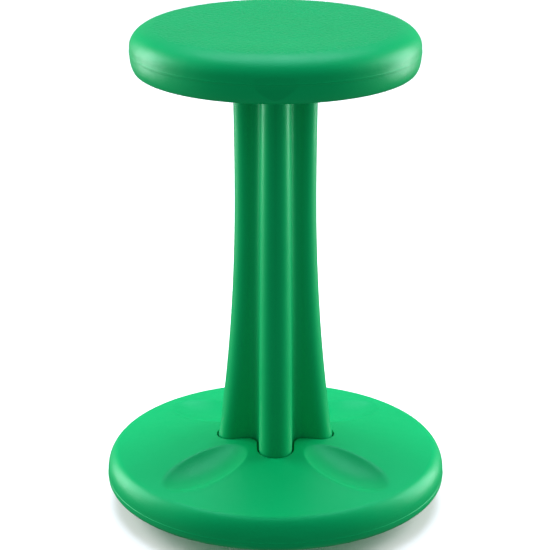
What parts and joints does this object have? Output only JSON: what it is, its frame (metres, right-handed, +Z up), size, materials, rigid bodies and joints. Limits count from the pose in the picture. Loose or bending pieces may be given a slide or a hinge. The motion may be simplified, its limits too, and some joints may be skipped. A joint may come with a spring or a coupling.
{
  "type": "wobble stool",
  "caption": "Wobble stool with a round dished seat, a fluted lobed column and a round base whose domed underside rocks on the floor.",
  "frame": {"origin": "centre of the flat of the domed underside, on the floor", "axes": "+Z up along the column and the stool's axis; one of the column's four lobes faces -Y, the side seen from the front, and one faces +X"},
  "size_m": [0.332, 0.332, 0.475],
  "materials": {
    "shell_plastic": "satin moulded green plastic with a fine grain",
    "grip_rubber": "matt dark green rubber with a fine grain"
  },
  "bodies": {
    "base": {"base_cover": "shell_plastic", "rocker": "shell_plastic", "grip_pad": "grip_rubber"},
    "column": {"column": "shell_plastic"},
    "seat": {"seat_top": "shell_plastic", "seat_underside": "shell_plastic"}
  },
  "joints": [
    {"name": "column_lift", "type": "slide", "parent": "base", "child": "column", "axis": [0, 0, 1], "range_m": [0, 0.08]},
    {"name": "seat_lift", "type": "slide", "parent": "column", "child": "seat", "axis": [0, 0, 1], "range_m": [0, 0.06]}
  ]
}
